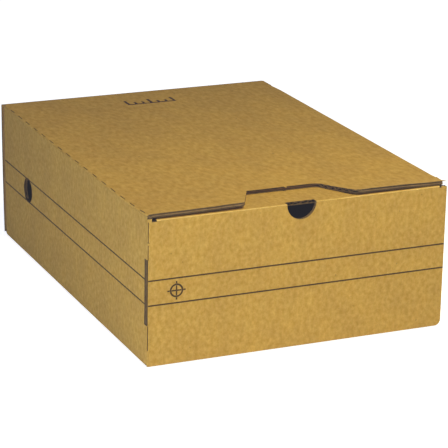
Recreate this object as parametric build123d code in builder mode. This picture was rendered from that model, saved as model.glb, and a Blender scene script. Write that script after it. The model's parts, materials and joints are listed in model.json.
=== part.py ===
from build123d import *
from math import cos, radians, sin
import os

# An archival box of corrugated board, lying on its large bottom face and closed.
# Frame: origin at the centre of the bottom face, +X from the spine to the right wall,
# +Y from the front door to the back wall, +Z up. Millimetres.

# Outside size and board
WIDTH = 255.0
DEPTH = 350.0
HEIGHT = 120.0
BOARD = 3.0

# Gaps
FIT = 0.2  # between boards that lie on each other
MITRE = 0.15  # from a folded board's outer face to the crease line it shares
LAND = 0.1  # flat left at the outer face of a mitred edge

# Spine: finger hole and the slot that the inner front wall's tab locks into
FINGER_HOLE_RADIUS = 11.0
FINGER_HOLE_FROM_BACK = 68.0
SLOT_LENGTH = 53.0
SLOT_WIDTH = 6.5
TAB_HEIGHT = 44.0

# Lid: thumb recess in its front edge, and the flap that tucks inside the right wall
LID_SETBACK = 1.5
LID_RIGHT_SETBACK = 0.5
RECESS_DEPTH = 35.0
RECESS_MOUTH = 94.0
RECESS_FLOOR = 59.0
RECESS_ROUNDING = 8.0
TUCK_LENGTH = 35.0
TUCK_SETBACK = 15.0
TUCK_ROUNDING = 15.0
TUCK_LEAN = 5.0
TUCK_GAP = 0.5

# Front door, its tongue, and the half-moon notch on their crease
DOOR_FLOOR_GAP = 0.5
DOOR_CORNER = 5.0
TONGUE_RELIEF = 8.0
TONGUE_LENGTH = 50.0
TONGUE_TAPER = 13.5
TONGUE_TAPER_START = 4.0
TONGUE_TIP_SETBACK = 6.0
TONGUE_CORNER = 12.0
NOTCH_RADIUS = 12.5
NOTCH_PAST_CREASE = 2.0

# Inner front wall and the ears
INNER_WALL_HEIGHT = 98.0
INNER_WALL_ROUNDING = 12.0
EAR_LENGTH = 65.0
EAR_ROUNDING = 10.0
EAR_TOP_GAP = 2.0

# Faces and levels worked out from the sizes above
LEFT = -WIDTH / 2
RIGHT = WIDTH / 2
FRONT = -DEPTH / 2
BACK = DEPTH / 2
MIDDLE = HEIGHT / 2
WALL_TOP = HEIGHT - BOARD - FIT
INNER_FRONT = FRONT + BOARD + FIT
EAR_FRONT = INNER_FRONT + BOARD + FIT
EAR_BACK = BACK - BOARD - FIT
EAR_BOTTOM = BOARD + FIT
LID_FRONT = FRONT + LID_SETBACK
LID_RIGHT = RIGHT - LID_RIGHT_SETBACK
TONGUE_HALF = RIGHT - TONGUE_RELIEF
FINGER_HOLE_Y = BACK - FINGER_HOLE_FROM_BACK
TUCK_FOLD_X = RIGHT - BOARD - TUCK_GAP
TUCK_FOLD_Z = WALL_TOP - FIT

# Outer-face planes: spine and right wall read (Y, Z), front and back read (X, Z)
SPINE_FACE = Plane.YZ.offset(LEFT)
RIGHT_FACE = Plane.YZ.offset(RIGHT)
DOOR_FACE = Plane.XZ.offset(-FRONT)
BACK_FACE = Plane.XZ.offset(-BACK)
LID_FACE = Plane.XY.offset(HEIGHT)
lean = radians(TUCK_LEAN)
TUCK_FACE = Plane(
    origin=(TUCK_FOLD_X, 0, TUCK_FOLD_Z), x_dir=(0, 1, 0), z_dir=(cos(lean), 0, -sin(lean))
)

os.makedirs("parts", exist_ok=True)


def board(face, inward, low, high, folds=()):
    """A board whose outer face is the rectangle from low to high on the plane face.

    inward is +1 or -1, the side of the plane its thickness goes to. Each side named in
    folds is a crease, cut back at 45 degrees to meet the next board.
    """
    lap = {side: MITRE if side in folds else 0 for side in ("left", "right", "bottom", "top")}
    left, right = low[0] + lap["left"], high[0] - lap["right"]
    bottom, top = low[1] + lap["bottom"], high[1] - lap["top"]
    with BuildPart() as blank:
        with BuildSketch(face):
            with Locations(((left + right) / 2, (bottom + top) / 2)):
                Rectangle(right - left, top - bottom)
        extrude(amount=inward * BOARD)
        inner_face = blank.faces().sort_by(Axis((0, 0, 0), inward * face.z_dir))[-1]
        across = inner_face.edges().sort_by(Axis((0, 0, 0), face.x_dir))
        upward = inner_face.edges().sort_by(Axis((0, 0, 0), face.y_dir))
        side_edges = {"left": across[0], "right": across[-1], "bottom": upward[0], "top": upward[-1]}
        if folds:
            chamfer([side_edges[side] for side in folds], BOARD - LAND)
    return blank.part


def finish(part, name):
    """Label a board and write it as its own STEP file."""
    part.label = name
    export_step(part, f"parts/{name}.step")


# Bottom panel: creased on all four sides
bottom_blank = board(
    Plane.XY, 1, (LEFT, INNER_FRONT), (RIGHT, BACK), ("left", "right", "bottom", "top")
)
with BuildPart() as bottom_panel:
    add(bottom_blank)
finish(bottom_panel.part, "bottom_panel")

# Spine panel: creased to the door, the bottom, the lid and its back ear
spine_blank = board(
    SPINE_FACE, 1, (FRONT, 0), (EAR_BACK, HEIGHT), ("left", "right", "bottom", "top")
)
with BuildPart() as spine_panel:
    add(spine_blank)
    with BuildSketch(SPINE_FACE):
        with Locations((FINGER_HOLE_Y, MIDDLE)):
            Circle(FINGER_HOLE_RADIUS)
        with Locations((FRONT + SLOT_WIDTH / 2, MIDDLE)):
            Rectangle(SLOT_WIDTH, SLOT_LENGTH)
    extrude(amount=BOARD, mode=Mode.SUBTRACT)
finish(spine_panel.part, "spine_panel")

# Right wall: creased to the bottom and to its two ears, raw at the top
right_blank = board(
    RIGHT_FACE, -1, (EAR_FRONT, 0), (EAR_BACK, WALL_TOP), ("left", "right", "bottom")
)
with BuildPart() as right_wall:
    add(right_blank)
finish(right_wall.part, "right_wall")

# Back wall: creased to the bottom only, its two ends flush with the side walls
back_blank = board(BACK_FACE, 1, (LEFT, 0), (RIGHT, WALL_TOP), ("bottom",))
with BuildPart() as back_wall:
    add(back_blank)
finish(back_wall.part, "back_wall")

# Inner front wall: low board behind the door, with a lock tab in the spine's slot
inner_left = LEFT + BOARD + FIT
inner_blank = board(
    Plane.XZ.offset(-INNER_FRONT), -1, (inner_left, 0), (RIGHT - FIT, INNER_WALL_HEIGHT), ("bottom",)
)
with BuildPart() as inner_front_wall:
    add(inner_blank)
    top_corners = inner_front_wall.edges().filter_by(Axis.Y).group_by(Axis.Z)[-1]
    fillet(top_corners, INNER_WALL_ROUNDING)
    with BuildSketch(Plane.XZ.offset(-INNER_FRONT)):
        with Locations((inner_left - BOARD / 2, MIDDLE)):
            Rectangle(BOARD, TAB_HEIGHT)
    extrude(amount=-BOARD)
finish(inner_front_wall.part, "inner_front_wall")

# Ears: each is creased to a side wall and glued to the board in front of or behind it
ears = {
    "spine_back_ear": (-EAR_BACK, 1, LEFT, LEFT + EAR_LENGTH, WALL_TOP - EAR_TOP_GAP),
    "right_wall_back_ear": (-EAR_BACK, 1, RIGHT - EAR_LENGTH, RIGHT, WALL_TOP - EAR_TOP_GAP),
    "right_wall_front_ear": (
        -EAR_FRONT, -1, RIGHT - EAR_LENGTH, RIGHT, INNER_WALL_HEIGHT - EAR_TOP_GAP
    ),
}
for ear_name, (ear_offset, ear_inward, ear_left, ear_right, ear_top) in ears.items():
    on_spine = ear_left == LEFT
    ear_blank = board(
        Plane.XZ.offset(ear_offset),
        ear_inward,
        (ear_left, EAR_BOTTOM),
        (ear_right, ear_top),
        ("left",) if on_spine else ("right",),
    )
    with BuildPart() as ear:
        add(ear_blank)
        free_end = ear.edges().filter_by(Axis.Y).group_by(Axis.X)[-1 if on_spine else 0]
        fillet(free_end, EAR_ROUNDING)
    finish(ear.part, ear_name)

# Lid panel: creased to the spine, raw on the other sides, thumb recess in its front edge
lid_blank = board(LID_FACE, -1, (LEFT, LID_FRONT), (LID_RIGHT, BACK), ("left",))
recess_floor_y = LID_FRONT + RECESS_DEPTH
outside_y = LID_FRONT - RECESS_ROUNDING
with BuildPart() as lid_panel:
    add(lid_blank)
    with BuildSketch(LID_FACE) as recess:
        with BuildLine():
            Polyline(
                (-RECESS_MOUTH, outside_y),
                (-RECESS_MOUTH, LID_FRONT),
                (-RECESS_MOUTH / 2, LID_FRONT),
                (-RECESS_FLOOR / 2, recess_floor_y),
                (RECESS_FLOOR / 2, recess_floor_y),
                (RECESS_MOUTH / 2, LID_FRONT),
                (RECESS_MOUTH, LID_FRONT),
                (RECESS_MOUTH, outside_y),
                close=True,
            )
        make_face()
        shoulders = recess.vertices().filter_by(lambda v: abs(v.X) < RECESS_MOUTH)
        fillet(shoulders, RECESS_ROUNDING)
    extrude(amount=-BOARD, mode=Mode.SUBTRACT)
finish(lid_panel.part, "lid_panel")

# Lid tuck flap: hangs from the lid's right edge, leaning in to clear the right wall
tuck_front = LID_FRONT + TUCK_SETBACK
tuck_back = EAR_BACK - TUCK_SETBACK
with BuildPart() as lid_tuck_flap:
    with BuildSketch(TUCK_FACE):
        with Locations(((tuck_front + tuck_back) / 2, -TUCK_LENGTH / 2)):
            Rectangle(tuck_back - tuck_front, TUCK_LENGTH)
    extrude(amount=-BOARD)
    across = Axis((0, 0, 0), TUCK_FACE.z_dir)
    fillet(lid_tuck_flap.edges().filter_by(across).group_by(Axis.Z)[0], TUCK_ROUNDING)
finish(lid_tuck_flap.part, "lid_tuck_flap")

# Front door: creased to the spine, with half of the half-moon notch in its top edge
door_blank = board(DOOR_FACE, -1, (LEFT, DOOR_FLOOR_GAP), (RIGHT, WALL_TOP), ("left",))
with BuildPart() as front_door:
    add(door_blank)
    free_corner = front_door.edges().filter_by(Axis.Y).sort_by(Axis.X)[-2:].sort_by(Axis.Z)[0]
    fillet(free_corner, DOOR_CORNER)
    with BuildSketch(DOOR_FACE):
        with Locations((0, WALL_TOP)):
            Circle(NOTCH_RADIUS)
    extrude(amount=-BOARD, mode=Mode.SUBTRACT)
finish(front_door.part, "front_door")

# Door tongue: lies under the lid, its ends tapered, the notch running on past the crease
tongue_end = FRONT + TONGUE_LENGTH
taper_start = INNER_FRONT + TONGUE_TAPER_START
taper_end = taper_start + TONGUE_TAPER
tip_half = TONGUE_HALF - TONGUE_TAPER - TONGUE_TIP_SETBACK
with BuildPart() as door_tongue:
    with BuildSketch(Plane.XY.offset(WALL_TOP)) as tongue_outline:
        with BuildLine():
            Polyline(
                (-TONGUE_HALF, INNER_FRONT),
                (TONGUE_HALF, INNER_FRONT),
                (TONGUE_HALF, taper_start),
                (TONGUE_HALF - TONGUE_TAPER, taper_end),
                (tip_half, tongue_end),
                (-tip_half, tongue_end),
                (-TONGUE_HALF + TONGUE_TAPER, taper_end),
                (-TONGUE_HALF, taper_start),
                close=True,
            )
        make_face()
        fillet(tongue_outline.vertices().group_by(Axis.Y)[-1], TONGUE_CORNER)
        with Locations((0, INNER_FRONT)):
            Rectangle(2 * NOTCH_RADIUS, 2 * NOTCH_PAST_CREASE, mode=Mode.SUBTRACT)
    extrude(amount=-BOARD)
finish(door_tongue.part, "door_tongue")
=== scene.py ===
import json
import math

import bpy
import numpy as np
from mathutils import Matrix, Vector
from mathutils.geometry import delaunay_2d_cdt


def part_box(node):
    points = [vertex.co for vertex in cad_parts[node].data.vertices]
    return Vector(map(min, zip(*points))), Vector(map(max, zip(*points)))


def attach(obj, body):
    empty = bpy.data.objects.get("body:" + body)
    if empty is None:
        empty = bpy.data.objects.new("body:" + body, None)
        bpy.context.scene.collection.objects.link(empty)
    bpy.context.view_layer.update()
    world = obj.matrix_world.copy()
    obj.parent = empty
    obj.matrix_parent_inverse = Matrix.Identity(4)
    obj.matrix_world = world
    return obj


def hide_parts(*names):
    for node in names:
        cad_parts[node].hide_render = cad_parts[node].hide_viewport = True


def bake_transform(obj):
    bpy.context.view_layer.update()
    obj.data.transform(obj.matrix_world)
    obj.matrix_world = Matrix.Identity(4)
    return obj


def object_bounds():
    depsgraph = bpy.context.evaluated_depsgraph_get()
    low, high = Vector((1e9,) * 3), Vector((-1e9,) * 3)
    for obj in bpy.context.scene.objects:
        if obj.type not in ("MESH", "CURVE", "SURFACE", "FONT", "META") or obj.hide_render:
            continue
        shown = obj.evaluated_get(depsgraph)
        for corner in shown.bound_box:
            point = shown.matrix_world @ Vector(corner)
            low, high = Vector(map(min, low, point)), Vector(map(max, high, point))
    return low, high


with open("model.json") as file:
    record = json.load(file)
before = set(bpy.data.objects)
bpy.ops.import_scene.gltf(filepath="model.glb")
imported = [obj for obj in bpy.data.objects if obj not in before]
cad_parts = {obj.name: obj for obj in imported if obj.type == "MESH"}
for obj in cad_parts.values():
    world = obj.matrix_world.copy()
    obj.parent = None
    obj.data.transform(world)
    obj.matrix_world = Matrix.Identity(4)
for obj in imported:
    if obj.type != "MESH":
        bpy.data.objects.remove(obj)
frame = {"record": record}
cad_low, cad_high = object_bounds()

# An archival box of one die-cut sheet of corrugated board, closed and lying on its bottom.
# Lengths are in millimetres, but for the places of the lights and the camera, in metres.
MM = 0.001

# Light and floor
FILL = 0.21  # strength of the light from all round
FILL_COLOUR = (0.19, 0.31, 1.0, 1)
FLOOR_GLOW = 0.86  # light that the floor sends to the camera and to nothing else
STRAY_LIGHT = (0.020, 0.020, 0.025)  # red, green and blue that the lens scatters over the darks
WHITE = (1, 1, 1, 1)
FLOOR_GAP = 0.3  # keeps the floor clear of the bottom liner

# Board: two liners with a wavy fluting between them
BOARD = 3.0
LINER = 0.35
FLUTING = 0.25
PITCH = 6.3
COLUMNS_PER_PITCH = 8
WASHBOARD = 0.05  # how far a liner sinks between two flute tips
BLOTCH_STRETCH = 0.45  # lower is longer blotches across flutes that run sideways
BEND = 1.5  # outer radius of a crease
TONGUE_BEND = 0.8  # the door's top crease is folded sharper
FIT = 0.2  # how far a raw edge stops short of the face beside it

# Paper: the darkest and the lightest that its fine mottle and its patches of tint make it
MOTTLE = ((0.86, 0.82, 0.56, 1), (1.14, 1.18, 1.44, 1))
TINT = ((1.006, 0.995, 0.98, 1), (0.994, 1.005, 1.02, 1))

# Spine: slot for the inner front wall's tab, and cut lines along the lid crease
SLOT_HEIGHT = 53.0
SLOT_WIDTH = 6.5
LOCK_TAB_HEIGHT = 44.0
LOCK_TAB_ROUNDING = 1.0
PERFORATION_PITCH = 20.7
PERFORATION_CUT = 10.0
FIRST_PERFORATION = -165.5
LID_LIPS = (0.68, 0.94)  # shares of the bend where the spine's lip ends and the lid's begins

# Door crease, from the floor up: uncut, cut, slot, cut, nick, cut
CREASE_UNCUT_TOP = 13.6
NICK = (98.4, 100.2)
DOOR_LIPS = (0.36, 0.62)  # shares of the bend where the spine's lip ends and the door's begins
TORN_CORNER = 0.40  # share of the bend where the torn bit at its top begins

# Door: half-moon notch, corners, and a relief cut at each end of its top crease
NOTCH_RADIUS = 12.5
NOTCH_PAST_CREASE = 2.0
DOOR_CORNER = 5.0
DOOR_TOP_CORNER = 0.8
RELIEF_LEFT = (-124.3, -120.4)
RELIEF_RIGHT = (121.0, 122.6)
RELIEF_DEPTH = 1.2
CORNER_RISE = 1.2  # the bit of door left of its relief stands up against the lid
DOOR_BOW = (1.15, 1.95)  # how far the door's top stands up, at its left and its right end
DOOR_BOW_START = 78.0

# Lid: thumb recess, and how far the worn front edge stands up
RECESS_DEPTH = 35.0
RECESS_MOUTH = 94.0
RECESS_FLOOR = 59.0
RECESS_ROUNDING = 8.0
RECESS_CORNER = 1.2
RECESS_SPREAD = 1.0  # on each side, where the cut edge has worn
RECESS_TAB = (1.4, 3.6)  # the two sides of a bit of outer liner left standing in the recess
RECESS_TAB_SLOPE = 0.3
RECESS_TAB_LENGTH = 2.8
RECESS_TAB_STUB = 0.6  # what stands of the other layers
LIFT = 3.6  # at the middle of the front edge
LIFT_AT_ENDS = 2.35
LIFT_START = -95.0
RIPPLES = ((0.14, 11.0, 0.0), (0.1, 4.7, 1.0))  # height, length and start of each along the edge
LID_CREST = 0.15  # share of a flute that the front edge cuts off
LID_BACK_CORNER = 0.6
LID_FRONT_GAP = 2.6  # the front edge ends this far short of the lid's right edge
LINER_TIP = 3.0  # torn liner that sticks out at the lid's front right corner
LINER_TIP_FORWARD = 0.2
LINER_TIP_ROOT = (0.8, 4.0)

# Back: the walls' back ends and the back wall spring outward toward the top
BACK_BEND = 3.5  # outer radius of the two back corners
BACK_BULGE = 2.4
BACK_BULGE_START = 60.0  # ahead of the ears
BACK_SPRING = 4.2
BACK_RISE = 2.2  # the back wall's top edge shows behind the lid

# Tongue, tuck flap, inner front wall and ears
TONGUE_TAPER = 13.5
TONGUE_TAPER_START = 4.0
TONGUE_TAPER_ROUNDING = (2.0, 3.0)  # at its start and at its end
TONGUE_TIP_SETBACK = 6.0
TONGUE_CORNER = 12.0
TUCK_START = 0.3  # gap between the fold and the flap's board
TUCK_LENGTH = 35.0
TUCK_ROUNDING = 15.0
TUCK_LEAN = math.radians(5)
INNER_WALL_ROUNDING = 12.0
EAR_ROUNDING = 10.0
EAR_CREASE_FOOT = 3.2
EAR_CREASE_SHORT = 2.0  # how far it ends below the top of its wall or ear

# Rolled right edge of the lid, in x and z from the tuck flap's fold or from the lid's top face
ROLL_START = 1.3  # left of the fold
ROLL_MITRE = 0.57  # how much farther in each layer of the lid's board ends, per its depth
ROLL_PULL_TOP = (5.2, 0.5)  # the two points that pull the curve outward
ROLL_PULL_FOOT = (3.4, 1.4)
ROLL_END = (0.3, 0.15)
ROLL_OUT = 1.8  # how far the middle of the roll is pushed out
ROLL_EASE = (35.0, 15.0)  # lengths over which the push grows, from its front and its back end
ROLL_TURNS = 12
ROLL_RINGS = 40

# Print
INK_DEPTH = (0.03, 0.05)  # how far a film of ink goes into the liner and stands off it
INK_GAP = 0.1  # between two films that would otherwise overlap
LINE_WIDTH = 1.2
LINE_HEIGHTS = (50.0, 70.0)
LINE_MARGINS = (0.4, 0.1)  # the door's lines stop this short of its left and its right edge
MARK_SIZE = 15.0
MARK_CENTRE = (-103.8, 60.0)
MARK_RING_RADIUS = 0.37 * MARK_SIZE
MARK_RING_WIDTH = 1.4
MARK_STROKE = 1.2
SCALE_BAR_CENTRE = (0.0, 142.0)
SCALE_BAR_LENGTH = 46.0
SCALE_BAR_HEIGHT = 14.0
SCALE_BAR_STROKE = 2.4
SCALE_BAR_TICKS = 6
LONG_TICK_EVERY = 3
SHORT_TICK = 0.55

# Camera: where it looks from, in degrees and metres, and where the box sits in the picture
AZIMUTH = math.radians(-23.89)
ELEVATION = math.radians(18.13)
TILT = math.radians(1.05)
DISTANCE = 1.8465
AIM_RIGHT, AIM_UP = -0.01195, -0.0450  # picture centre from the frame's origin
SENSOR = 36.0
LENS = 172.8964


def box_mm(node):
    """Lowest and highest corner of a CAD node, in millimetres."""
    low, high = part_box(node)
    return np.array(low) / MM, np.array(high) / MM


inner_low, inner_high = box_mm("inner_front_wall")
lid_low, lid_high = box_mm("lid_panel")
tuck_low, tuck_high = box_mm("lid_tuck_flap")

LEFT, FRONT, FLOOR = np.array(cad_low) / MM
RIGHT, BACK, TOP = np.array(cad_high) / MM
MIDDLE = (FLOOR + TOP) / 2
WIDTH = RIGHT - LEFT
WALL_TOP = box_mm("back_wall")[1][2]
DOOR_FOOT = box_mm("front_door")[0][2]
TONGUE_TIP = box_mm("door_tongue")[1][1]
INNER_FRONT = inner_low[1]
EAR_FRONT = box_mm("right_wall_front_ear")[0][1]
EAR_BACK = box_mm("spine_back_ear")[1][1]
LID_FRONT = lid_low[1]
LID_RIGHT = lid_high[0]
TUCK_FOLD = (tuck_high[0], tuck_high[2])


# Geometry helpers

def rounded(corners, steps=8):
    """Outline through (u, v, radius) corners, each rounded with its own radius."""
    outline = []
    count = len(corners)
    for i, (u, v, radius) in enumerate(corners):
        here = np.array((u, v), float)
        if radius <= 0:
            outline.append(here)
            continue
        before = np.array(corners[i - 1][:2], float) - here
        after = np.array(corners[(i + 1) % count][:2], float) - here
        before /= np.linalg.norm(before)
        after /= np.linalg.norm(after)
        half = math.acos(np.clip(before @ after, -1, 1)) / 2
        middle = (before + after) / np.linalg.norm(before + after)
        centre = here + middle * radius / math.sin(half)
        start = here + before * radius / math.tan(half) - centre
        end = here + after * radius / math.tan(half) - centre
        turn = math.atan2(start[0] * end[1] - start[1] * end[0], start @ end)
        for k in range(steps + 1):
            angle = turn * k / steps
            c, s = math.cos(angle), math.sin(angle)
            outline.append(centre + (start[0] * c - start[1] * s, start[0] * s + start[1] * c))
    return outline


def circle(u, v, radius, steps=48, first=0.0, last=2 * math.pi):
    """Points on a circle or arc about (u, v)."""
    whole = math.isclose(last - first, 2 * math.pi)
    angles = np.linspace(first, last, steps, endpoint=not whole)
    return [np.array((u + radius * math.cos(a), v + radius * math.sin(a))) for a in angles]


def inside(points, loops):
    """Whether each point is inside the loops, counting holes, by the even-odd rule."""
    odd = np.zeros(len(points), bool)
    x, y = points[:, 0], points[:, 1]
    for loop in loops:
        ring = np.array(loop, float)
        for (ax, ay), (bx, by) in zip(ring, np.roll(ring, -1, axis=0)):
            crosses = (ay > y) != (by > y)
            if ay != by:
                odd ^= crosses & (x < ax + (y - ay) * (bx - ax) / (by - ay))
    return odd


def extent(loops):
    """Lowest and highest corner of the loops."""
    points = np.vstack(loops)
    return points.min(axis=0), points.max(axis=0)


def evenly_spaced(low, high, spacing, through=0.0):
    """Evenly spaced values between low and high, one of them at through."""
    first = math.ceil((low - through) / spacing)
    last = math.floor((high - through) / spacing)
    return [through + k * spacing for k in range(first, last + 1)]


def fill(loops, u_lines=(), v_lines=()):
    """Points and triangles that fill the loops, with edges along the given u and v lines."""
    points, edges = [], []
    for loop in loops:
        first = len(points)
        points += [Vector((float(u), float(v))) for u, v in loop]
        edges += [(first + i, first + (i + 1) % len(loop)) for i in range(len(loop))]
    low, high = extent(loops)
    margin = 0.02  # a line closer than this to the rim would make slivers
    for u in u_lines:
        if low[0] + margin < u < high[0] - margin:
            edges.append((len(points), len(points) + 1))
            points += [Vector((u, low[1] - 1)), Vector((u, high[1] + 1))]
    for v in v_lines:
        if low[1] + margin < v < high[1] - margin:
            edges.append((len(points), len(points) + 1))
            points += [Vector((low[0] - 1, v)), Vector((high[0] + 1, v))]
    found, _, faces, _, _, _ = delaunay_2d_cdt(points, edges, [], 0, 1e-6)
    flat = np.array([tuple(p) for p in found])
    triangles = np.array(faces, int)
    corners = flat[triangles]
    sides = corners[:, 1:] - corners[:, :1]
    area = sides[:, 0, 0] * sides[:, 1, 1] - sides[:, 0, 1] * sides[:, 1, 0]
    triangles = triangles[inside(corners.mean(1), loops) & (np.abs(area) > 1e-6)]
    used, triangles = np.unique(triangles, return_inverse=True)
    return flat[used], triangles.reshape(-1, 3)


class Panel:
    """Where a board lies: (u, v) run along its outer face, and depth goes inward from it."""

    def __init__(self, origin, along_u, along_v, inward, shift=None):
        self.origin = np.array(origin, float)
        self.along_u = np.array(along_u, float)
        self.along_v = np.array(along_v, float)
        self.inward = np.array(inward, float)
        self.shift = shift
        self.faces_out = np.cross(self.along_u, self.along_v) @ self.inward < 0

    def place(self, u, v, depth):
        """Points in the frame for board coordinates, all in millimetres."""
        points = self.origin + np.outer(u, self.along_u) + np.outer(v, self.along_v)
        points = points + np.outer(depth, self.inward)
        if self.shift is not None:
            points = points + self.shift(points)
        return points


class Shape:
    """Collects points, faces, a material number per face and texture coordinates."""

    def __init__(self):
        self.points, self.coords, self.faces, self.kinds = [], [], [], []

    def add(self, points, coords, faces, kinds):
        first = len(self.points)
        self.points += [tuple(p) for p in points]
        self.coords += [tuple(c) for c in coords]
        self.faces += [tuple(int(i) + first for i in face) for face in faces]
        self.kinds += list(kinds)

    def build(self, name, materials, texture_shift=(0, 0), sharp_angle=50):
        """Make the object, with smooth shading broken at sharp angles."""
        mesh = bpy.data.meshes.new(name)
        mesh.from_pydata([[c * MM for c in p] for p in self.points], [], self.faces)
        for material in materials:
            mesh.materials.append(material)
        mesh.polygons.foreach_set("material_index", self.kinds)
        uv = mesh.uv_layers.new(name="board")
        order = np.empty(len(mesh.loops), int)
        mesh.loops.foreach_get("vertex_index", order)
        coords = np.array(self.coords) * MM + np.array(texture_shift)
        uv.data.foreach_set("uv", coords[order].astype(np.float32).ravel())
        mesh.polygons.foreach_set("use_smooth", [True] * len(mesh.polygons))
        mesh.update()
        mesh.set_sharp_from_angle(angle=math.radians(sharp_angle))
        piece = bpy.data.objects.new(name, mesh)
        bpy.context.scene.collection.objects.link(piece)
        return piece


def add_slab(shape, panel, loops, u_lines, v_lines, upper, lower, kinds):
    """A closed sheet between two depths; kinds are its upper, lower and cut faces' materials."""
    flat, triangles = fill(loops, u_lines, v_lines)
    u, v = flat[:, 0], flat[:, 1]
    points = np.vstack([panel.place(u, v, upper(u, v)), panel.place(u, v, lower(u, v))])
    count = len(flat)
    pairs = np.vstack([triangles[:, [0, 1]], triangles[:, [1, 2]], triangles[:, [2, 0]]])
    known = {(a, b) for a, b in pairs.tolist()}
    rim = [(a, b) for a, b in known if (b, a) not in known]
    rim.sort()
    faces = [tuple(t) for t in triangles] + [tuple(t[::-1] + count) for t in triangles]
    faces += [(a, a + count, b + count, b) for a, b in rim]
    if not panel.faces_out:
        faces = [face[::-1] for face in faces]
    material = [kinds[0]] * len(triangles) + [kinds[1]] * len(triangles) + [kinds[2]] * len(rim)
    shape.add(points, np.vstack([flat, flat]), faces, material)


# Materials

def link(tree, source, target):
    tree.links.new(source, target)


def node(tree, kind, **values):
    """A shader node with inputs or properties set by name."""
    made = tree.nodes.new(kind)
    for key, value in values.items():
        if key in made.inputs:
            made.inputs[key].default_value = value
        else:
            setattr(made, key, value)
    return made


def srgb(red, green, blue):
    """A colour given in display values from 0 to 255, as the linear colour nodes use."""
    def linear(c):
        c /= 255
        return c / 12.92 if c <= 0.04045 else ((c + 0.055) / 1.055) ** 2.4
    return (linear(red), linear(green), linear(blue), 1.0)


def noise(tree, coordinates, scale, detail=2.0, roughness=0.5):
    """A noise pattern on board coordinates, scale in (u, v) features per metre."""
    mapping = node(tree, "ShaderNodeMapping")
    mapping.inputs["Scale"].default_value = (scale[0], scale[1], 1)
    link(tree, coordinates, mapping.inputs["Vector"])
    made = node(tree, "ShaderNodeTexNoise", Scale=1.0, Detail=detail, Roughness=roughness)
    link(tree, mapping.outputs["Vector"], made.inputs["Vector"])
    return made.outputs["Fac"]


def ramp(tree, value, low, high, to_low, to_high):
    """value from low to high turned into to_low to to_high, and held beyond."""
    made = node(tree, "ShaderNodeMapRange")
    for key, number in zip(("From Min", "From Max", "To Min", "To Max"), (low, high, to_low, to_high)):
        made.inputs[key].default_value = number
    link(tree, value, made.inputs["Value"])
    return made.outputs["Result"]


def mix(tree, factor, first, second, mode="MIX"):
    """Two colours mixed by a factor; each is a colour or a node output.

    The sockets go by number, because the node has some of the same name for other kinds.
    """
    made = node(tree, "ShaderNodeMix", data_type="RGBA", blend_type=mode)
    for index, value in ((0, factor), (6, first), (7, second)):
        if isinstance(value, (tuple, float, int)):
            made.inputs[index].default_value = value
        else:
            link(tree, value, made.inputs[index])
    return made.outputs[2]


def paper(name, dark, light, speck=0.35, streak=(90, 320)):
    """Kraft paper: blotches, streaks of fibre along the sheet, fine grain and dark specks."""
    material = bpy.data.materials.new(name)
    material.use_nodes = True
    tree = material.node_tree
    shader = tree.nodes["Principled BSDF"]
    coordinates = node(tree, "ShaderNodeUVMap", uv_map="board").outputs["UV"]
    blotch = noise(tree, coordinates, (28, 36), 3.0, 0.55)
    mottle = noise(tree, coordinates, (260, 290), 3.0, 0.6)
    tint = noise(tree, coordinates, (75, 95), 2.0, 0.5)
    fibre = noise(tree, coordinates, streak, 4.0, 0.65)
    grain = noise(tree, coordinates, (900, 1500), 3.0, 0.6)
    dust = noise(tree, coordinates, (260, 300), 1.0, 0.4)
    colour = mix(tree, ramp(tree, blotch, 0.36, 0.64, 0, 1), dark, light)
    shade = mix(tree, ramp(tree, tint, 0.35, 0.65, 0, 1), *TINT)
    colour = mix(tree, 1.0, colour, shade, "MULTIPLY")
    shade = mix(tree, ramp(tree, mottle, 0.3, 0.7, 0, 1), *MOTTLE)
    colour = mix(tree, 1.0, colour, shade, "MULTIPLY")
    shade = ramp(tree, fibre, 0.3, 0.7, 0.96, 1.04)
    colour = mix(tree, 1.0, colour, shade, "MULTIPLY")
    shade = ramp(tree, grain, 0.3, 0.7, 0.94, 1.06)
    colour = mix(tree, 1.0, colour, shade, "MULTIPLY")
    spots = ramp(tree, dust, 0.76, 0.80, 0, speck)
    colour = mix(tree, spots, colour, srgb(70, 50, 30))
    link(tree, colour, shader.inputs["Base Color"])
    link(tree, ramp(tree, grain, 0.3, 0.7, 0.72, 0.92), shader.inputs["Roughness"])
    shader.inputs["Specular IOR Level"].default_value = 0.25
    rough = node(tree, "ShaderNodeBump", Strength=0.6, Distance=0.00005)
    link(tree, grain, rough.inputs["Height"])
    broad = node(tree, "ShaderNodeBump", Strength=0.25, Distance=0.00015)
    link(tree, fibre, broad.inputs["Height"])
    link(tree, rough.outputs["Normal"], broad.inputs["Normal"])
    link(tree, broad.outputs["Normal"], shader.inputs["Normal"])
    return material


def cut_paper(name, dark, light):
    """The raw cut edge of the board: short torn fibres, duller than the liners."""
    material = bpy.data.materials.new(name)
    material.use_nodes = True
    tree = material.node_tree
    shader = tree.nodes["Principled BSDF"]
    place = node(tree, "ShaderNodeTexCoord").outputs["Object"]
    fuzz = node(tree, "ShaderNodeTexNoise", Scale=900.0, Detail=3.0, Roughness=0.7)
    link(tree, place, fuzz.inputs["Vector"])
    wear = node(tree, "ShaderNodeTexNoise", Scale=60.0, Detail=2.0, Roughness=0.5)
    link(tree, place, wear.inputs["Vector"])
    colour = mix(tree, ramp(tree, fuzz.outputs["Fac"], 0.35, 0.65, 0, 1), dark, light)
    shade = ramp(tree, wear.outputs["Fac"], 0.35, 0.65, 0.85, 1.12)
    colour = mix(tree, 1.0, colour, shade, "MULTIPLY")
    link(tree, colour, shader.inputs["Base Color"])
    shader.inputs["Roughness"].default_value = 0.95
    shader.inputs["Specular IOR Level"].default_value = 0.1
    bump = node(tree, "ShaderNodeBump", Strength=0.8, Distance=0.0001)
    link(tree, fuzz.outputs["Fac"], bump.inputs["Height"])
    link(tree, bump.outputs["Normal"], shader.inputs["Normal"])
    return material


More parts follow.
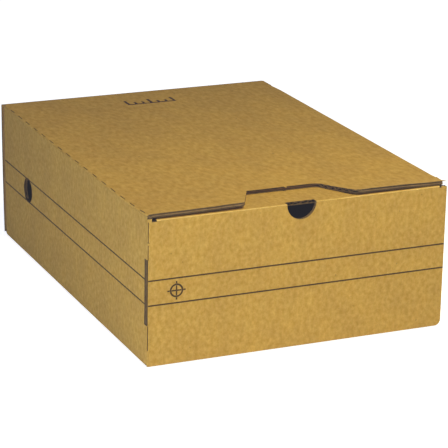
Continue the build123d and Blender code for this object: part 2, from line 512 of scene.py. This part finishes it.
def printing_ink(name):
    """Dark brown flexo ink, thinner where the paper's grain takes less of it."""
    material = bpy.data.materials.new(name)
    material.use_nodes = True
    tree = material.node_tree
    shader = tree.nodes["Principled BSDF"]
    coordinates = node(tree, "ShaderNodeUVMap", uv_map="board").outputs["UV"]
    grain = noise(tree, coordinates, (900, 1200), 3.0, 0.6)
    patch = noise(tree, coordinates, (120, 150), 2.0, 0.5)
    colour = mix(tree, ramp(tree, grain, 0.35, 0.7, 0, 1), srgb(58, 36, 4), srgb(80, 54, 8))
    shade = ramp(tree, patch, 0.35, 0.65, 0.85, 1.15)
    colour = mix(tree, 1.0, colour, shade, "MULTIPLY")
    link(tree, colour, shader.inputs["Base Color"])
    link(tree, ramp(tree, grain, 0.3, 0.7, 0.5, 0.75), shader.inputs["Roughness"])
    shader.inputs["Specular IOR Level"].default_value = 0.3
    bump = node(tree, "ShaderNodeBump", Strength=0.5, Distance=0.00004)
    link(tree, grain, bump.inputs["Height"])
    link(tree, bump.outputs["Normal"], shader.inputs["Normal"])
    return material


KRAFT = paper("kraft_outer_liner", srgb(186, 146, 69), srgb(194, 153, 71))
KRAFT_INSIDE = paper("kraft_inner_liner", srgb(160, 124, 78), srgb(174, 136, 86), streak=(80, 260))
FLUTE = paper("fluting_paper", srgb(108, 85, 56), srgb(128, 101, 67), speck=0.2)
# Crease paper: lighter than the kraft partly for real wear and partly as a painted highlight where the
# fold catches the light
WORN_AND_PAINTED_HIGHLIGHT = paper("crease_kraft_wear_and_highlight", srgb(202, 166, 94), srgb(214, 176, 102), speck=0.1)
RAW = cut_paper("cut_board_edge", srgb(92, 73, 50), srgb(124, 100, 70))
INK = printing_ink("printing_ink")
OUTSIDE, INSIDE, CORE, CUT = 0, 1, 2, 3
BOARD_MATERIALS = [KRAFT, KRAFT_INSIDE, FLUTE, RAW]


# Boards

def washboard(across, crest):
    """How far a liner sinks between the flute tips at these places."""
    return WASHBOARD * (0.5 - 0.5 * np.cos(2 * math.pi * (across - crest) / PITCH))


def board(name, node_name, body, panel, outline, flutes, crest=0.0, rows=None, number=0):
    """A corrugated board that stands for a CAD node.

    outline(setback) gives the loops of one layer, set back at its creases; flutes is "u" or
    "v", the way the fluting runs; crest is where a flute touches the inner liner; rows is
    the spacing of cross lines on a board that curves; number picks its patch of paper.
    """
    shape = Shape()
    loops = outline(0.0)
    low, high = extent(loops)
    across, along = (1, 0) if flutes == "u" else (0, 1)
    columns = evenly_spaced(low[across], high[across], PITCH / COLUMNS_PER_PITCH, crest)
    cross = evenly_spaced(low[along], high[along], rows) if rows else []
    u_lines, v_lines = (columns, cross) if flutes == "v" else (cross, columns)

    def sink(u, v):
        return washboard(v if flutes == "u" else u, crest)

    def wave(u, v):
        angle = 2 * math.pi * ((v if flutes == "u" else u) - crest) / PITCH
        reach = (BOARD - 2 * LINER - FLUTING) / 2
        return BOARD / 2 + reach * np.cos(angle)

    def wave_thickness(u, v):
        angle = 2 * math.pi * ((v if flutes == "u" else u) - crest) / PITCH
        slope = (BOARD - 2 * LINER - FLUTING) * math.pi / PITCH * np.sin(angle)
        return FLUTING / 2 * np.sqrt(1 + slope**2)

    add_slab(
        shape, panel, loops, u_lines, v_lines,
        sink, lambda u, v: sink(u, v) + LINER, (OUTSIDE, CORE, CUT),
    )
    add_slab(
        shape, panel, outline(BOARD / 2), u_lines, v_lines,
        lambda u, v: wave(u, v) - wave_thickness(u, v),
        lambda u, v: wave(u, v) + wave_thickness(u, v), (CORE, CORE, CORE),
    )
    add_slab(
        shape, panel, outline(BOARD), u_lines, v_lines,
        lambda u, v: BOARD - LINER - sink(u, v), lambda u, v: BOARD - sink(u, v),
        (CORE, INSIDE, CUT),
    )
    if flutes == "v":
        shape.coords = [(v, u) for u, v in shape.coords]  # the paper's streaks run along the flutes
    else:
        shape.coords = [(u, BLOTCH_STRETCH * v) for u, v in shape.coords]
    paper_shift = (0.61 * number, 0.37 * number)  # no two boards show the same patch of paper
    piece = shape.build(name, BOARD_MATERIALS, paper_shift)
    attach(piece, body)
    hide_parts(node_name)


def smooth(low, high, value):
    """0 below low, 1 above high, and a smooth step between them."""
    t = np.clip((value - low) / (high - low), 0, 1)
    return t * t * (3 - 2 * t)


def lid_lift(x, y):
    """How far the lid's front edge has curled up at these places."""
    forward = np.clip((LIFT_START - y) / (LIFT_START - LID_FRONT), 0, 1) ** 3
    bow = LIFT + (LIFT_AT_ENDS - LIFT) * (x / RIGHT) ** 2
    ripple = sum(height * np.sin(x / length + start) for height, length, start in RIPPLES)
    return forward * (bow + ripple)


def raised(points, height):
    """Shift of points straight up, by a height for each."""
    shift = np.zeros_like(points)
    shift[:, 2] = height
    return shift


def door_bow(x):
    """How far the door's top crease stands up, pushed by the tongue's spring."""
    return DOOR_BOW[0] + (DOOR_BOW[1] - DOOR_BOW[0]) * (x - LEFT) / WIDTH


def lean(z):
    """Share of the full outward lean of the box's back at a height, bulging toward the top."""
    return 1 - (1 - np.clip(z / WALL_TOP, 0, 1)) ** 2


def swell_back(points):
    """Shift of points on the side walls and ears, whose back ends spring outward."""
    shift = np.zeros_like(points)
    share = smooth(EAR_BACK - BACK_BULGE_START, EAR_BACK - BACK_BEND, points[:, 1])
    shift[:, 1] = BACK_BULGE * share * lean(points[:, 2])
    return shift


def spring_back_wall(points):
    """Shift of points on the back wall, which stands off its ears and rises behind the lid."""
    shift = raised(points, BACK_RISE * np.clip(points[:, 2] / WALL_TOP, 0, 1) ** 3)
    shift[:, 1] = BACK_SPRING * lean(points[:, 2])
    return shift


def lift_lid(points):
    """Shift of points that belong to the lid."""
    return raised(points, lid_lift(points[:, 0], points[:, 1]))


def lift_spine(points):
    """Shift of points on the spine, whose top front corner is drawn up with the lid."""
    shift = swell_back(points)
    share = np.clip((points[:, 2] - MIDDLE) / (TOP - MIDDLE), 0, 1) ** 4
    shift[:, 2] = share * lid_lift(np.full(len(points), LEFT), points[:, 1])
    return shift


def stretch_door(points):
    """Shift of points on the door, which grows toward its bowed top crease."""
    share = np.clip((points[:, 2] - DOOR_BOW_START) / (WALL_TOP - DOOR_BOW_START), 0, 1) ** 2
    return raised(points, share * door_bow(points[:, 0]))


def spring_tongue(points):
    """Shift of points on the tongue, which is bowed at the crease and lies flat at its tip."""
    share = 1 - smooth(FRONT, TONGUE_TIP, points[:, 1])
    return raised(points, share * door_bow(points[:, 0]))


def lift_lid_crease(points):
    """Shift of points on the lid crease, the same as at the lid's left edge."""
    return raised(points, lid_lift(np.full(len(points), LEFT), points[:, 1]))


def lift_tongue_crease(points):
    """Shift of points on the tongue crease."""
    return raised(points, door_bow(points[:, 0]))


def lift_tuck_crease(points):
    """Shift of points on the tuck crease, full at the lid and none at the tuck flap."""
    share = np.clip((points[:, 2] - TUCK_FOLD[1]) / (TOP - TUCK_FOLD[1]), 0, 1)
    return raised(points, share * lid_lift(points[:, 0], points[:, 1]))


UP, RIGHTWARD, BACKWARD = (0, 0, 1), (1, 0, 0), (0, 1, 0)
DOWN, LEFTWARD, FORWARD = (0, 0, -1), (-1, 0, 0), (0, -1, 0)
SPINE = Panel((LEFT, 0, 0), BACKWARD, UP, RIGHTWARD, lift_spine)
RIGHT_WALL = Panel((RIGHT, 0, 0), BACKWARD, UP, LEFTWARD, swell_back)
DOOR = Panel((0, FRONT, 0), RIGHTWARD, UP, BACKWARD, stretch_door)
INNER_WALL = Panel((0, INNER_FRONT, 0), RIGHTWARD, UP, BACKWARD)
BACK_WALL = Panel((0, BACK, 0), RIGHTWARD, UP, FORWARD, spring_back_wall)
BACK_EARS = Panel((0, EAR_BACK, 0), RIGHTWARD, UP, FORWARD, swell_back)
FRONT_EAR = Panel((0, EAR_FRONT, 0), RIGHTWARD, UP, BACKWARD)
BOTTOM = Panel((0, 0, FLOOR), RIGHTWARD, BACKWARD, UP)
LID = Panel((0, 0, TOP), RIGHTWARD, BACKWARD, DOWN, lift_lid)
TONGUE = Panel((0, 0, WALL_TOP), RIGHTWARD, BACKWARD, DOWN, spring_tongue)
TUCK = Panel(
    (TUCK_FOLD[0], 0, TUCK_FOLD[1]),
    BACKWARD,
    (-math.sin(TUCK_LEAN), 0, -math.cos(TUCK_LEAN)),
    (-math.cos(TUCK_LEAN), 0, math.sin(TUCK_LEAN)),
)

slot_low, slot_high = MIDDLE - SLOT_HEIGHT / 2, MIDDLE + SLOT_HEIGHT / 2
finger_hole = next(m for m in frame["record"]["mounts"] if m["name"] == "finger_hole")
_, hole_y, hole_z = np.array(finger_hole["pos_m"]) / MM
hole_radius = finger_hole["dims"]["r_mm"]


# Outlines: the loops of one layer of each board, set back at its creases

def spine_outline(setback):
    lap = BEND + setback
    front, back, low, high = FRONT + lap, EAR_BACK - BACK_BEND - setback, FLOOR + lap, TOP - lap
    slot_back = FRONT + SLOT_WIDTH
    edge = [
        (front, low), (back, low), (back, high), (front, high),
        (front, slot_high), (slot_back, slot_high), (slot_back, slot_low), (front, slot_low),
    ]
    return [edge, circle(hole_y, hole_z, hole_radius)]


def right_wall_outline(setback):
    lap = BEND + setback
    front, back = EAR_FRONT + lap, EAR_BACK - BACK_BEND - setback
    return [[(front, FLOOR + lap), (back, FLOOR + lap), (back, WALL_TOP), (front, WALL_TOP)]]


def back_wall_outline(setback):
    low = FLOOR + BEND + setback
    return [[(LEFT, low), (RIGHT, low), (RIGHT, WALL_TOP), (LEFT, WALL_TOP)]]


def bottom_outline(setback):
    lap = BEND + setback
    left, right, front, back = LEFT + lap, RIGHT - lap, INNER_FRONT + lap, BACK - lap
    return [[(left, front), (right, front), (right, back), (left, back)]]


def inner_wall_outline(setback):
    left, right = LEFT + BOARD + FIT, inner_high[0]
    tab_low, tab_high = MIDDLE - LOCK_TAB_HEIGHT / 2, MIDDLE + LOCK_TAB_HEIGHT / 2
    low = FLOOR + BEND + setback
    return [rounded([
        (left, low, 0), (right, low, 0), (right, inner_high[2], INNER_WALL_ROUNDING),
        (left, inner_high[2], INNER_WALL_ROUNDING), (left, tab_high, 0),
        (inner_low[0], tab_high, LOCK_TAB_ROUNDING), (inner_low[0], tab_low, LOCK_TAB_ROUNDING),
        (left, tab_low, 0),
    ])]


def ear_outline(node_name, crease_x, free_x):
    """Outline maker for an ear that runs from its crease at crease_x to its free end."""
    low, high = box_mm(node_name)
    bend = BACK_BEND if node_name.endswith("back_ear") else BEND

    def outline(setback):
        start = crease_x + math.copysign(bend + setback, free_x - crease_x)
        return [rounded([
            (start, low[2], 0), (free_x, low[2], EAR_ROUNDING),
            (free_x, high[2], EAR_ROUNDING), (start, high[2], 0),
        ])]

    return outline


def door_outline(setback):
    left, top = LEFT + BEND + setback, WALL_TOP - TONGUE_BEND - setback
    slot_left = LEFT + FIT
    relief_floor, corner_top = WALL_TOP - RELIEF_DEPTH, WALL_TOP + CORNER_RISE
    dip = math.asin((WALL_TOP - top) / NOTCH_RADIUS)
    notch = circle(
        0, WALL_TOP, NOTCH_RADIUS, steps=33, first=math.pi + dip, last=2 * math.pi - dip
    )
    corner = rounded([
        (RIGHT, WALL_TOP, DOOR_TOP_CORNER), (RIGHT, DOOR_FOOT, DOOR_CORNER), (left, DOOR_FOOT, 0),
    ])
    left_side = [
        (left, slot_low), (slot_left, slot_low), (slot_left, slot_high), (left, slot_high),
        (left, corner_top), (RELIEF_LEFT[0], corner_top), (RELIEF_LEFT[0], relief_floor),
        (RELIEF_LEFT[1], relief_floor), (RELIEF_LEFT[1], top),
    ]
    right_side = [
        (RELIEF_RIGHT[0], top), (RELIEF_RIGHT[0], relief_floor),
        (RELIEF_RIGHT[1], relief_floor), (RELIEF_RIGHT[1], WALL_TOP),
    ]
    return [left_side + notch + right_side + corner]


def tongue_outline(setback):
    crease = FRONT + TONGUE_BEND + setback
    left, right = RELIEF_LEFT[1], RELIEF_RIGHT[0]
    taper_low = INNER_FRONT + TONGUE_TAPER_START
    taper_high = taper_low + TONGUE_TAPER
    at_start, at_end = TONGUE_TAPER_ROUNDING
    tip_inset = TONGUE_TAPER + TONGUE_TIP_SETBACK
    notch_end = INNER_FRONT + NOTCH_PAST_CREASE
    return [rounded([
        (NOTCH_RADIUS, crease, 0), (right, crease, 0), (right, taper_low, at_start),
        (right - TONGUE_TAPER, taper_high, at_end), (right - tip_inset, TONGUE_TIP, TONGUE_CORNER),
        (left + tip_inset, TONGUE_TIP, TONGUE_CORNER), (left + TONGUE_TAPER, taper_high, at_end),
        (left, taper_low, at_start), (left, crease, 0), (-NOTCH_RADIUS, crease, 0),
        (-NOTCH_RADIUS, notch_end, 0), (NOTCH_RADIUS, notch_end, 0),
    ])]


def lid_outline(setback):
    outer_liner = setback == 0
    left = LEFT + BEND + setback
    fold = TUCK_FOLD[0] - ROLL_START - ROLL_MITRE * setback
    mouth, floor = RECESS_MOUTH / 2 + RECESS_SPREAD, RECESS_FLOOR / 2 + RECESS_SPREAD
    recess_end = LID_FRONT + RECESS_DEPTH
    tab_end = recess_end - (RECESS_TAB_LENGTH if outer_liner else RECESS_TAB_STUB)
    tab_left, tab_right = RECESS_TAB
    edge = LID_RIGHT - LID_FRONT_GAP
    tip = edge + LINER_TIP if outer_liner else edge
    return [rounded([
        (left, LID_FRONT, 0), (-mouth, LID_FRONT, RECESS_ROUNDING / 2),
        (-floor, recess_end, RECESS_CORNER), (tab_left, recess_end, 0),
        (tab_left + RECESS_TAB_SLOPE, tab_end, 0), (tab_right - RECESS_TAB_SLOPE, tab_end, 0),
        (tab_right, recess_end, 0), (floor, recess_end, RECESS_ROUNDING),
        (mouth, LID_FRONT, RECESS_ROUNDING), (edge, LID_FRONT, 0),
        (tip, LID_FRONT - LINER_TIP_FORWARD, 0),
        (edge + LINER_TIP_ROOT[0], LID_FRONT + LINER_TIP_ROOT[1], 0),
        (LID_RIGHT, tuck_low[1], 0), (fold, tuck_low[1], 0), (fold, tuck_high[1], 0),
        (LID_RIGHT, tuck_high[1], 0), (LID_RIGHT, BACK, LID_BACK_CORNER), (left, BACK, 0),
    ])]


def tuck_outline(setback):
    front, back = tuck_low[1], tuck_high[1]
    return [rounded([
        (front, TUCK_START, 0), (back, TUCK_START, 0),
        (back, TUCK_LENGTH, TUCK_ROUNDING), (front, TUCK_LENGTH, TUCK_ROUNDING),
    ])]


lid_crest = LID_FRONT - LID_CREST * PITCH
ears = {
    "spine_back_ear": (BACK_EARS, LEFT, box_mm("spine_back_ear")[1][0]),
    "right_wall_back_ear": (BACK_EARS, RIGHT, box_mm("right_wall_back_ear")[0][0]),
    "right_wall_front_ear": (FRONT_EAR, RIGHT, box_mm("right_wall_front_ear")[0][0]),
}
# name: CAD node, body, panel, outline, way the flutes run, and what else it needs
boards = {
    "spine_board": ("spine_panel", "box_body", SPINE, spine_outline, "v", {"rows": 10}),
    "right_wall_board": (
        "right_wall", "box_body", RIGHT_WALL, right_wall_outline, "v", {"rows": 10}
    ),
    "back_wall_board": ("back_wall", "box_body", BACK_WALL, back_wall_outline, "u", {}),
    "bottom_board": ("bottom_panel", "box_body", BOTTOM, bottom_outline, "u", {}),
    "inner_front_wall_board": (
        "inner_front_wall", "box_body", INNER_WALL, inner_wall_outline, "u", {}
    ),
}
for ear, (ear_panel, crease_x, free_x) in ears.items():
    outline = ear_outline(ear, crease_x, free_x)
    boards[ear + "_board"] = (ear, "box_body", ear_panel, outline, "v", {"rows": 10})
boards |= {
    "front_door_board": ("front_door", "door", DOOR, door_outline, "v", {}),
    "tongue_board": ("door_tongue", "tongue", TONGUE, tongue_outline, "v", {}),
    "lid_board": ("lid_panel", "lid", LID, lid_outline, "u", {"crest": lid_crest, "rows": 12}),
    "tuck_flap_board": ("lid_tuck_flap", "tuck_flap", TUCK, tuck_outline, "v", {}),
}
for number, (board_name, (*place, more)) in enumerate(boards.items(), start=1):
    board(board_name, *place, number=number, **more)


# Creases: the board bent round a corner, as its own piece

def add_bent_strip(shape, points, coords, turns, rings, flip=False):
    """Faces round and at both ends of a strip of bent board.

    points holds its rings one after the other. A ring runs along the outer liner in the
    given number of turns, and back along the inner one.
    """
    size = 2 * (turns + 1)
    faces, kinds = [], []
    for r in range(rings - 1):
        for k in range(size):
            a, b = r * size + k, r * size + (k + 1) % size
            faces.append((a, b, b + size, a + size))
            kinds.append(OUTSIDE if k < turns else CUT if k in (turns, size - 1) else INSIDE)
    last = (rings - 1) * size
    for k in range(turns):
        faces.append((k, size - 1 - k, size - 2 - k, k + 1))
        faces.append((last + k, last + k + 1, last + size - 2 - k, last + size - 1 - k))
        kinds += [CUT, CUT]
    shape.add(points, coords, [f[::-1] for f in faces] if flip else faces, kinds)


def bent_board(
    shape, corner, axis, toward_a, toward_b, spans,
    share=(0.0, 1.0), shift=None, bend=BEND, step=8.0,
):
    """Bent board between two boards that meet at a right angle.

    corner is a point on the sharp outer corner and axis the way it runs; toward_a and
    toward_b point from it along each board; spans are the stretches it fills along the
    axis; share is how much of the bend from board a to board b it fills.
    """
    corner, axis = np.array(corner, float), np.array(axis, float)
    toward_a, toward_b = np.array(toward_a, float), np.array(toward_b, float)
    turns = max(3, round(12 * (share[1] - share[0])))
    angles = np.linspace(share[0], share[1], turns + 1) * math.pi / 2
    outer = np.outer(bend - bend * np.sin(angles), toward_a)
    outer = outer + np.outer(bend - bend * np.cos(angles), toward_b)
    inner = outer + BOARD * (toward_a + toward_b)
    section = np.vstack([outer, inner[::-1]])
    arc = np.concatenate([angles * bend, angles[::-1] * bend])
    flip = np.cross(toward_a, toward_b) @ axis < 0
    for low, high in spans:
        places = np.linspace(low, high, max(2, math.ceil((high - low) / step) + 1))
        points = np.vstack([corner + axis * s + section for s in places])
        if shift is not None:
            points = points + shift(points)
        coords = [(s, c) for s in places for c in arc]
        add_bent_strip(shape, points, coords, turns, len(places), flip)


def crease(name, corner, axis, toward_a, toward_b, spans, materials=BOARD_MATERIALS, **rest):
    """A piece made of one crease's bent board."""
    shape = Shape()
    bent_board(shape, corner, axis, toward_a, toward_b, spans, **rest)
    return shape.build(name, materials, (0.13, 0.07), sharp_angle=40)


def shift_mesh(piece, shift):
    """Move a finished piece's points; its blend keeps the shares of the unshifted points."""
    flat = np.empty(3 * len(piece.data.vertices))
    piece.data.vertices.foreach_get("co", flat)
    points = flat.reshape(-1, 3) / MM
    piece.data.vertices.foreach_set("co", ((points + shift(points)) * MM).ravel())
    piece.data.update()


# name: corner, axis, the two directions, and the stretch it fills
fixed_creases = {
    "spine_bottom_crease": (
        (LEFT, 0, FLOOR), BACKWARD, UP, RIGHTWARD, (INNER_FRONT + BEND, EAR_BACK - BACK_BEND)
    ),
    "right_wall_bottom_crease": (
        (RIGHT, 0, FLOOR), BACKWARD, UP, LEFTWARD, (EAR_FRONT + BEND, EAR_BACK - BACK_BEND)
    ),
    "inner_wall_bottom_crease": (
        (0, INNER_FRONT, FLOOR), RIGHTWARD, UP, BACKWARD, (LEFT + BOARD + FIT, RIGHT - BEND)
    ),
    "back_wall_bottom_crease": (
        (0, BACK, FLOOR), RIGHTWARD, UP, FORWARD, (LEFT + BEND, RIGHT - BEND)
    ),
    "spine_back_ear_crease": (
        (LEFT, EAR_BACK, 0), UP, FORWARD, RIGHTWARD, (EAR_CREASE_FOOT, WALL_TOP - EAR_CREASE_SHORT)
    ),
    "right_wall_back_ear_crease": (
        (RIGHT, EAR_BACK, 0), UP, FORWARD, LEFTWARD, (EAR_CREASE_FOOT, WALL_TOP - EAR_CREASE_SHORT)
    ),
    "right_wall_front_ear_crease": (
        (RIGHT, EAR_FRONT, 0), UP, BACKWARD, LEFTWARD,
        (EAR_CREASE_FOOT, inner_high[2] - EAR_CREASE_SHORT),
    ),
}
for crease_name, (*place, span) in fixed_creases.items():
    at_back = crease_name.endswith("back_ear_crease")
    rest = {"shift": swell_back, "bend": BACK_BEND} if at_back else {}
    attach(crease(crease_name, *place, [span], **rest), "box_body")

# Lid crease: short cuts, each with a lip on the spine and one on the lid, and bridges between
cuts = []
start = FIRST_PERFORATION
while start + PERFORATION_CUT < EAR_BACK - BEND:
    cuts.append((start, start + PERFORATION_CUT))
    start += PERFORATION_PITCH
bridge_ends = [LID_FRONT] + [end for cut in cuts for end in cut] + [EAR_BACK - BEND]
bridges = list(zip(bridge_ends[0::2], bridge_ends[1::2]))
lid_corner = ((LEFT, 0, TOP), BACKWARD, DOWN, RIGHTWARD)
lid_crease_parts = {
    "lid_crease": (bridges, (0, 1)),
    "lid_crease_spine_lips": (cuts, (0, LID_LIPS[0])),
    "lid_crease_lid_lips": (cuts, (LID_LIPS[1], 1)),
}
for part_name, (spans, share) in lid_crease_parts.items():
    part = crease(part_name, *lid_corner, spans, share=share)
    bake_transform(part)
    shift_mesh(part, lift_lid_crease)

# Door crease: uncut at the foot and at one nick, cut between them, open at the slot
door_corner = ((LEFT, FRONT, 0), UP, BACKWARD, RIGHTWARD)
low_cuts = [(CREASE_UNCUT_TOP, slot_low), (slot_high, NICK[0])]
corner_top = WALL_TOP + CORNER_RISE
door_crease_parts = {
    "door_crease": ([(DOOR_FOOT, CREASE_UNCUT_TOP), NICK], (0, 1), None),
    "door_crease_spine_lips": (low_cuts + [(NICK[1], WALL_TOP)], (0, DOOR_LIPS[0]), lift_spine),
    "door_crease_door_lips": (
        low_cuts + [(NICK[1], corner_top)], (DOOR_LIPS[1], 1), stretch_door
    ),
    "door_crease_torn_corner": (
        [(WALL_TOP - CORNER_RISE, corner_top)], (TORN_CORNER, DOOR_LIPS[1]), stretch_door
    ),
}
for part_name, (spans, share, shift) in door_crease_parts.items():
    part = crease(part_name, *door_corner, spans, share=share)
    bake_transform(part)
    if shift is not None:
        shift_mesh(part, shift)

# Tongue crease: worn light and painted lighter as a highlight along the fold, with the half-moon
# between its two halves
tongue_spans = [(RELIEF_LEFT[1], -NOTCH_RADIUS), (NOTCH_RADIUS, RELIEF_RIGHT[0])]
tongue_crease = crease(
    "tongue_crease", (0, FRONT, WALL_TOP), RIGHTWARD, DOWN, BACKWARD, tongue_spans,
    materials=[WORN_AND_PAINTED_HIGHLIGHT, KRAFT_INSIDE, FLUTE, RAW], bend=TONGUE_BEND,
)
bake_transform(tongue_crease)
shift_mesh(tongue_crease, lift_tongue_crease)


def tuck_crease():
    """The lid's rolled right edge, from the lid's outer face round to the tuck flap."""
    fold_x, fold_z = TUCK_FOLD
    start = np.array((fold_x - ROLL_START, TOP))
    pull_top = np.array((fold_x + ROLL_PULL_TOP[0], TOP + ROLL_PULL_TOP[1]))
    pull_foot = np.array((fold_x + ROLL_PULL_FOOT[0], fold_z + ROLL_PULL_FOOT[1]))
    end = np.array((fold_x + ROLL_END[0], WALL_TOP + ROLL_END[1]))
    t = np.linspace(0, 1, ROLL_TURNS)[:, None]
    near_top, near_foot = 3 * (1 - t) ** 2 * t, 3 * (1 - t) * t**2
    outer = (1 - t) ** 3 * start + near_top * pull_top + near_foot * pull_foot + t**3 * end
    outer = np.vstack([outer, (fold_x, fold_z - TUCK_START)])
    rolled = np.vstack([(near_top + near_foot) * (ROLL_OUT, 0), (0, 0)])
    inner = np.linspace((fold_x - BOARD, TOP - BOARD), (fold_x - BOARD, fold_z - 0.1), len(outer))
    arc = [0.4 * min(k, 2 * ROLL_TURNS + 1 - k) for k in range(2 * len(outer))]
    front, back = tuck_low[1], tuck_high[1]
    points, coords = [], []
    for y in np.linspace(front, back, ROLL_RINGS):
        push = smooth(0, ROLL_EASE[0], y - front) * smooth(0, ROLL_EASE[1], back - y)
        section = np.vstack([outer + push * rolled, inner[::-1]])
        points += [(x, y, z) for x, z in section]
        coords += [(y, c) for c in arc]
    shape = Shape()
    add_bent_strip(shape, points, coords, ROLL_TURNS, ROLL_RINGS, flip=True)
    return shape.build("tuck_crease", BOARD_MATERIALS, (0.3, 0.2), sharp_angle=40)


rolled_edge = tuck_crease()
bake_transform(rolled_edge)
shift_mesh(rolled_edge, lift_tuck_crease)


# Print, as thin films of ink on the liners

def ink(name, body, panel, shapes, flutes, crest=0.0):
    """Ink films for a list of loop sets, each lying just proud of the liner."""
    shape = Shape()
    for loops in shapes:
        low, high = extent(loops)
        across = 1 if flutes == "u" else 0
        columns = evenly_spaced(low[across], high[across], PITCH / COLUMNS_PER_PITCH, crest)
        u_lines, v_lines = (columns, ()) if flutes == "v" else ((), columns)

        def sink(u, v):
            return washboard(v if flutes == "u" else u, crest)

        add_slab(
            shape, panel, loops, u_lines, v_lines,
            lambda u, v: sink(u, v) - INK_DEPTH[0], lambda u, v: sink(u, v) + INK_DEPTH[1],
            (0, 0, 0),
        )
    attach(shape.build(name, [INK], sharp_angle=60), body)


def bar(u_low, v_low, u_high, v_high):
    """Loops of a plain rectangle."""
    return [[(u_low, v_low), (u_high, v_low), (u_high, v_high), (u_low, v_high)]]


def label_lines(u_low, u_high):
    """The two lines between which a label is written."""
    half = LINE_WIDTH / 2
    return [bar(u_low, height - half, u_high, height + half) for height in LINE_HEIGHTS]


def register_mark(u, v):
    """A ring with a cross through it, as printers use to line up their plates."""
    ring, arm, half = MARK_RING_RADIUS, MARK_SIZE / 2, MARK_STROKE / 2
    inner, outer = ring - MARK_RING_WIDTH - 2 * INK_GAP, ring + INK_GAP
    return [
        [circle(u, v, ring), circle(u, v, ring - MARK_RING_WIDTH)],
        bar(u - inner, v - half, u + inner, v + half),
        bar(u - half, v + half, u + half, v + inner),
        bar(u - half, v - inner, u + half, v - half),
        bar(u - arm, v - half, u - outer, v + half),
        bar(u + outer, v - half, u + arm, v + half),
        bar(u - half, v + outer, u + half, v + arm),
        bar(u - half, v - arm, u + half, v - outer),
    ]


def graduated_bar(u, v):
    """A bar with ticks that stand on it, every third one long."""
    left, base, stroke = u - SCALE_BAR_LENGTH / 2, v - SCALE_BAR_HEIGHT / 2, SCALE_BAR_STROKE
    bars = [bar(left, base, left + SCALE_BAR_LENGTH, base + stroke)]
    for tick in range(SCALE_BAR_TICKS + 1):
        tick_left = left + tick * (SCALE_BAR_LENGTH - stroke) / SCALE_BAR_TICKS
        height = SCALE_BAR_HEIGHT * (1.0 if tick % LONG_TICK_EVERY == 0 else SHORT_TICK)
        bars.append(bar(tick_left, base + stroke + INK_GAP, tick_left + stroke, base + height))
    return bars


spine_lines = label_lines(FRONT + SLOT_WIDTH, EAR_BACK - BACK_BEND)
door_lines = label_lines(LEFT + LINE_MARGINS[0], RIGHT - LINE_MARGINS[1])
ink("spine_label_lines", "box_body", SPINE, spine_lines, "v")
ink("door_label_lines", "door", DOOR, door_lines, "v")
ink("door_register_mark", "door", DOOR, register_mark(*MARK_CENTRE), "v")
ink("lid_scale_bar", "lid", LID, graduated_bar(*SCALE_BAR_CENTRE), "u", crest=lid_crest)


# Stage, light and camera

def floor_material():
    """Pale matt paper sweep. The camera sees it lit up to near white, as a lit studio floor is."""
    material = bpy.data.materials.new("studio_floor")
    material.use_nodes = True
    tree = material.node_tree
    shader = tree.nodes["Principled BSDF"]
    place = node(tree, "ShaderNodeTexCoord").outputs["Object"]
    cloud = node(tree, "ShaderNodeTexNoise", Scale=3.0, Detail=2.0)
    link(tree, place, cloud.inputs["Vector"])
    colour = mix(tree, cloud.outputs["Fac"], (0.80, 0.80, 0.80, 1), (0.82, 0.82, 0.82, 1))
    link(tree, colour, shader.inputs["Base Color"])
    shader.inputs["Roughness"].default_value = 0.9
    shader.inputs["Emission Color"].default_value = WHITE
    seen = node(tree, "ShaderNodeLightPath").outputs["Is Camera Ray"]
    link(tree, ramp(tree, seen, 0, 1, 0, FLOOR_GLOW), shader.inputs["Emission Strength"])
    return material


bpy.ops.mesh.primitive_plane_add(size=16, location=(0, 0, (FLOOR - FLOOR_GAP) * MM))
floor = bpy.context.object
floor.name = "studio_floor"
floor.data.materials.append(floor_material())

world = bpy.data.worlds.new("studio")
world.use_nodes = True
tree = world.node_tree
seen = node(tree, "ShaderNodeLightPath").outputs["Is Camera Ray"]
sky = tree.nodes["Background"]
link(tree, mix(tree, seen, FILL_COLOUR, WHITE), sky.inputs["Color"])
link(tree, ramp(tree, seen, 0, 1, FILL, 1.0), sky.inputs["Strength"])
bpy.context.scene.world = world
view = bpy.context.scene.view_settings
view.view_transform = "Standard"
view.use_curve_mapping = True
for curve, level in zip(view.curve_mapping.curves, STRAY_LIGHT):
    curve.points[0].location = (0, level)
view.curve_mapping.update()


def area_light(name, location, size, power, colour, target=(0, 0, 0.06)):
    """A soft light that faces the target. The size is its width and its height."""
    light = bpy.data.lights.new(name, "AREA")
    light.shape = "RECTANGLE"
    light.size, light.size_y = size
    light.energy = power
    light.color = colour
    lamp = bpy.data.objects.new(name, light)
    lamp.location = location
    lamp.visible_camera = False
    lamp.rotation_euler = (Vector(target) - Vector(location)).to_track_quat("-Z", "Y").to_euler()
    bpy.context.scene.collection.objects.link(lamp)


# The side light is turned away from the box, so that the near half of the spine gets most of it.
# The back light is lower than the lid.
area_light("key_light", (0.10, -0.45, 0.75), (0.5, 0.5), 5.8, (1.0, 0.92, 0.41))
area_light(
    "side_light", (-1.10, -0.80, 0.15), (0.4, 0.4), 14.2, (0.92, 1.0, 0.94),
    target=(0.2, -1.03, 0.10),
)
area_light("back_light", (0.90, 1.30, 0.06), (0.9, 0.1), 6.0, (1.0, 0.97, 0.80))

back = Vector((
    math.sin(AZIMUTH) * math.cos(ELEVATION),
    -math.cos(AZIMUTH) * math.cos(ELEVATION),
    math.sin(ELEVATION),
))
level = back.to_track_quat("Z", "Y").to_matrix()
turned = level @ Matrix.Rotation(TILT, 3, "Z")
camera = bpy.data.objects.new("camera", bpy.data.cameras.new("camera"))
camera.data.sensor_width = SENSOR
camera.data.lens = LENS
camera.data.clip_start, camera.data.clip_end = 0.05, 30
camera.rotation_euler = turned.to_euler()
camera.location = back * DISTANCE - turned.col[0] * AIM_RIGHT - turned.col[1] * AIM_UP
bpy.context.scene.collection.objects.link(camera)
bpy.context.scene.camera = camera
